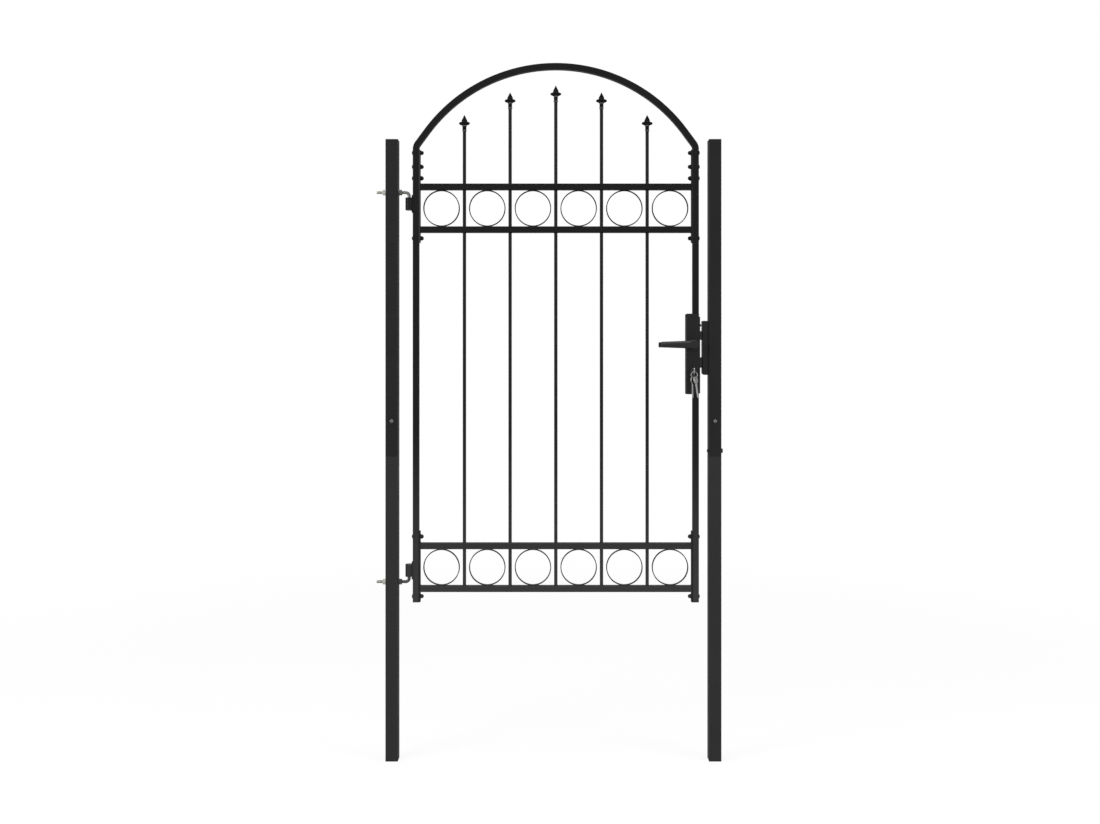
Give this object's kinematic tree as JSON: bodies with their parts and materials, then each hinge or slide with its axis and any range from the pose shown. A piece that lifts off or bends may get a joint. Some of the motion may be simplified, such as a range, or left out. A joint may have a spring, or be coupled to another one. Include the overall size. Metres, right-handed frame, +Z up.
{
  "type": "arched garden gate with posts",
  "caption": "Single-leaf arched steel garden gate with spear-headed bars, ring panels and a lever lock, hung on bent hinge bolts between two square posts.",
  "frame": {"origin": "centre of the hinge post's flat foot", "axes": "+Z up along the posts, +X from the hinge post to the latch post, +Y to the back of the gate"},
  "size_m": [1.1175, 0.1124, 2.2477],
  "materials": {
    "black_coat": "satin black powder coat",
    "black_plastic": "matt black moulded plastic",
    "zinc_steel": "bright zinc-plated steel",
    "nickel_keys": "nickel-plated, dulled"
  },
  "bodies": {
    "posts": {"hinge_post_lower": "black_coat", "hinge_post_upper": "black_coat", "latch_post_lower": "black_coat", "latch_post_upper": "black_coat", "post_spigots": "black_coat", "post_top_caps": "black_plastic", "post_foot_caps": "black_plastic", "seam_bolts": "zinc_steel", "cross_bolt": "black_coat", "hinge_bolt_upper": "zinc_steel", "hinge_bolt_lower": "zinc_steel", "hinge_nuts": "zinc_steel", "strike_keep": "black_coat"},
    "gate_leaf": {"hinge_stile": "black_coat", "latch_stile_lower": "black_coat", "latch_stile_upper": "black_coat", "stile_plugs": "black_plastic", "arch": "black_coat", "hinge_barrel_upper": "black_coat", "hinge_barrel_lower": "black_coat", "top_rail": "black_coat", "second_rail": "black_coat", "third_rail": "black_coat", "bottom_rail": "black_coat", "hinge_plate_upper": "black_coat", "hinge_plate_lower": "black_coat", "latch_plate_upper": "black_coat", "latch_plate_lower": "black_coat", "bar_1": "black_coat", "bar_2": "black_coat", "bar_3": "black_coat", "bar_4": "black_coat", "bar_5": "black_coat", "spear_heads": "black_coat", "upper_rings": "black_coat", "lower_rings": "black_coat", "lock_case": "black_coat", "lock_forend": "zinc_steel", "dead_bolt": "zinc_steel", "handle_plate_front": "black_coat", "handle_plate_rear": "black_coat", "key_cylinder": "zinc_steel", "lock_key": "nickel_keys", "key_bunch": "nickel_keys"},
    "lever_set": {"lever_front": "black_coat", "lever_rear": "black_coat", "lever_spindle": "zinc_steel"},
    "tongue": {"latch_tongue": "zinc_steel"}
  },
  "joints": [
    {"name": "leaf_swing", "type": "hinge", "parent": "posts", "child": "gate_leaf", "pos_m": [0.054, 0, 0.611], "axis": [0, 0, 1], "range_deg": [0, 110]},
    {"name": "lever_turn", "type": "hinge", "parent": "gate_leaf", "child": "lever_set", "pos_m": [0.968, 0, 1.34], "axis": [0, -1, 0], "range_deg": [0, 40], "stiffness_Nm_per_rad": 1.5, "springref_deg": -20.05},
    {"name": "tongue_slide", "type": "slide", "parent": "gate_leaf", "child": "tongue", "axis": [-1, 0, 0], "range_m": [0, 0.0075]}
  ],
  "couplings": [
    {"joint": "tongue_slide", "follows": "lever_turn", "m_per_rad": 0.0107}
  ]
}
